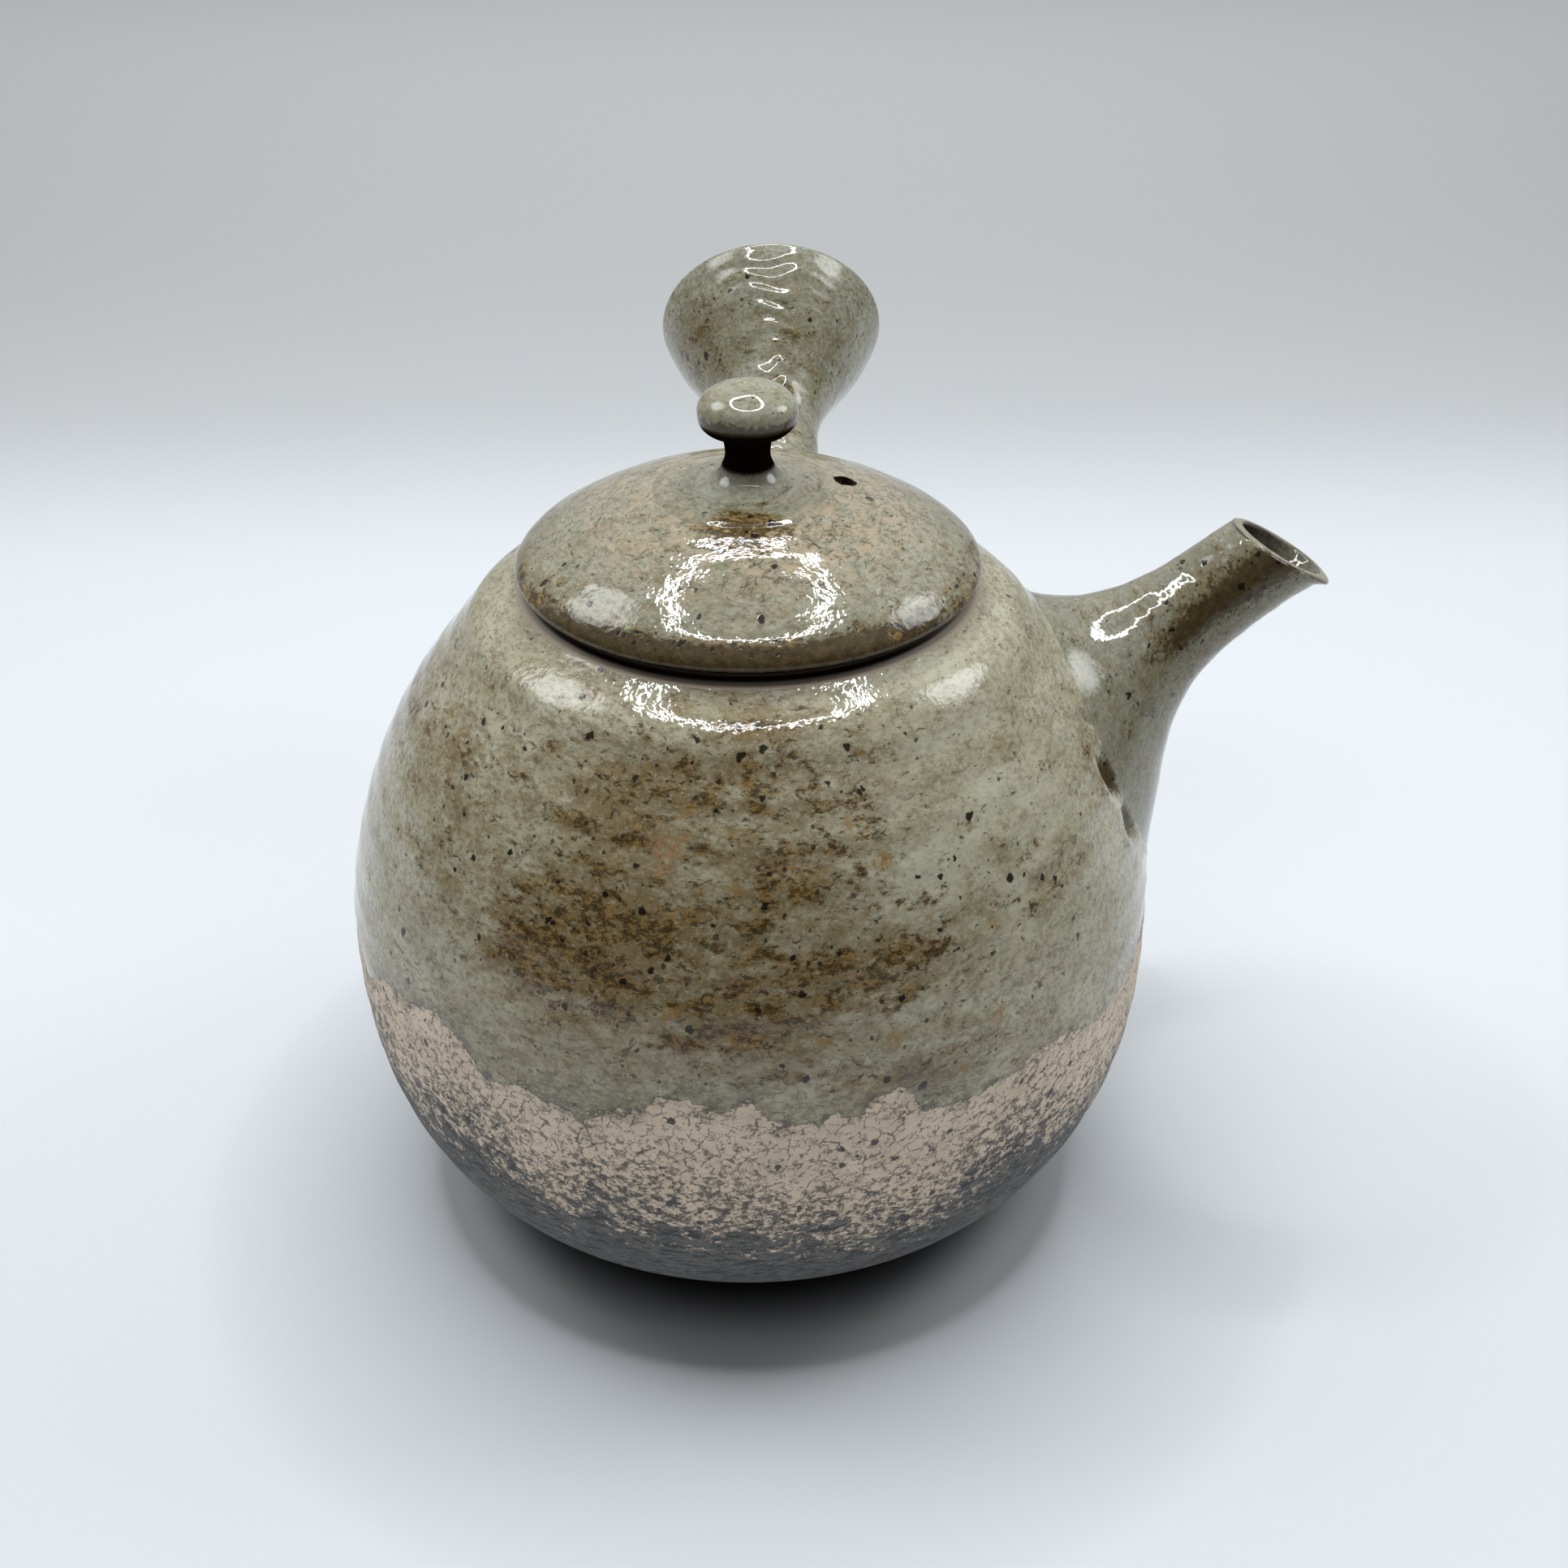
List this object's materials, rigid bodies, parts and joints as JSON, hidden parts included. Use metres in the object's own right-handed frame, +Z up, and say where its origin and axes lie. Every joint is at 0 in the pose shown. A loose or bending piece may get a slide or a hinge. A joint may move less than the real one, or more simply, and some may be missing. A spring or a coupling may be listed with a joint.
{
  "type": "side-handled teapot",
  "caption": "Round side-handled teapot with a flared pouring spout, hollow trumpet handle, built-in pierced strainer and a flanged, knobbed lid that lifts off.",
  "frame": {"origin": "centre of the flat foot, on the surface that the pot stands on", "axes": "+Z up through the knob, +X along the spout, and the handle leaves on the +Y side, 82 degrees round from the spout"},
  "size_m": [0.1213, 0.1538, 0.1067],
  "materials": {
    "body_glaze": "glossy mottled grey-green ash glaze with brown clouds and iron specks, over a band of crackled pale slip and a bare dark clay foot",
    "spout_glaze": "glossy mottled grey-green ash glaze, browner below the middle",
    "handle_glaze": "glossy grey-green ash glaze with faint pale runs",
    "lid_glaze": "glossy grey-green ash glaze over small beige patches, brown at the edge",
    "knob_glaze": "glossy grey-green ash glaze, brown under the cap",
    "bare_clay": "matt unglazed stoneware"
  },
  "bodies": {
    "pot": {"body": "body_glaze", "spout": "spout_glaze", "handle": "handle_glaze", "strainer": "bare_clay"},
    "lid": {"lid": "lid_glaze", "knob": "knob_glaze"}
  },
  "joints": [
    {"name": "lid_lift", "type": "slide", "parent": "pot", "child": "lid", "axis": [0, 0, 1], "range_m": [0, 0.04]}
  ]
}
